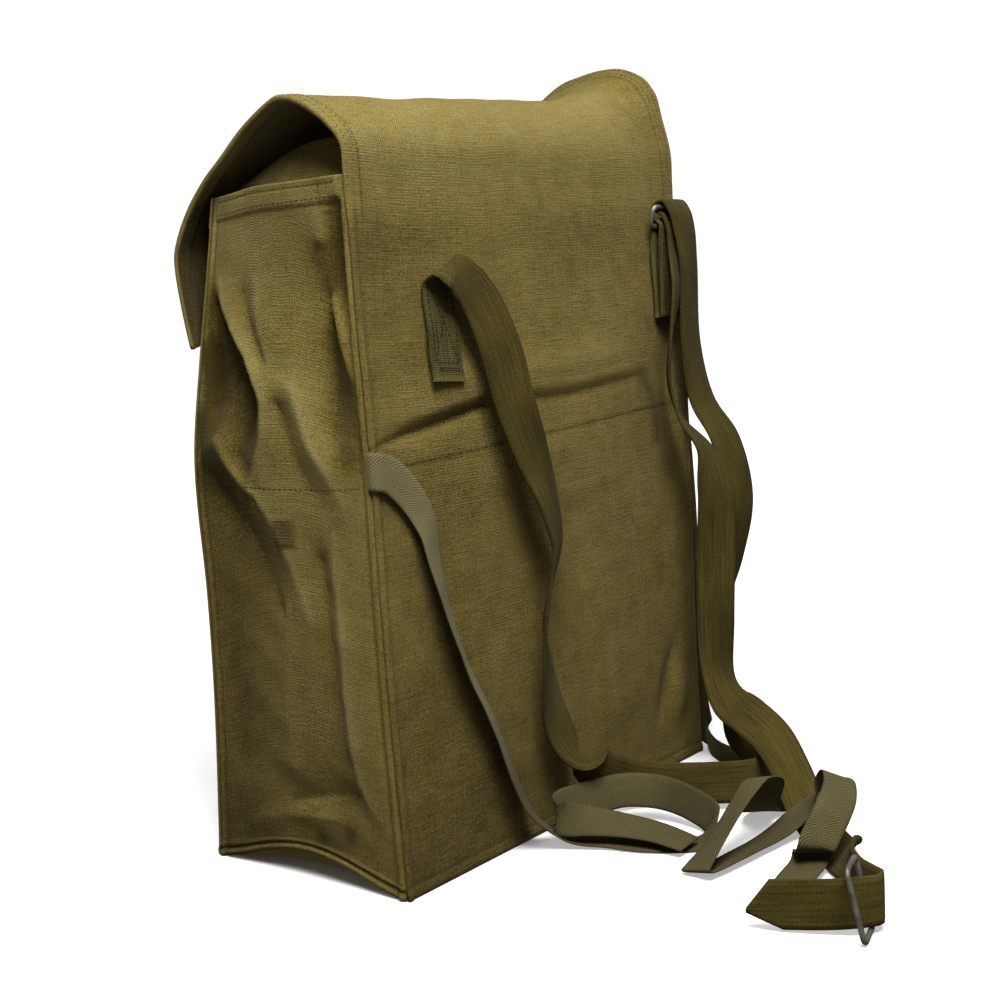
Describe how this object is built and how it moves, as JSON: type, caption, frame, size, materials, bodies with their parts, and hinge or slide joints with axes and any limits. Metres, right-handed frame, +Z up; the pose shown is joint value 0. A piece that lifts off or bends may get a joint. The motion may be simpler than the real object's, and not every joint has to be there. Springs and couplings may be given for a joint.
{
  "type": "canvas shoulder bag",
  "caption": "Upright canvas shoulder bag with a fold-over flap, a webbing strap run through a wire ring and loop, and loose cotton tie tapes.",
  "frame": {"origin": "middle of the flat underside of the base cloth, which the bag stands on", "axes": "+Z up, +Y out of the back panel that carries the strap, +X out of the side wall that the picture shows"},
  "size_m": [0.2942, 0.3393, 0.4094],
  "materials": {
    "canvas": "matte cotton canvas, worn",
    "webbing": "matte ribbed cotton webbing",
    "tape": "matte herringbone cotton tape",
    "wire": "dull, lightly tarnished wire"
  },
  "bodies": {
    "root": {"back_flap": "canvas", "front_panel": "canvas", "gusset_near": "canvas", "gusset_far": "canvas", "bottom_panel": "canvas", "throat_flap": "canvas", "shoulder_strap": "webbing", "ring_chape": "webbing", "strap_ring": "wire", "strap_loop": "wire", "tape_near": "tape", "tape_far": "tape"}
  },
  "joints": []
}
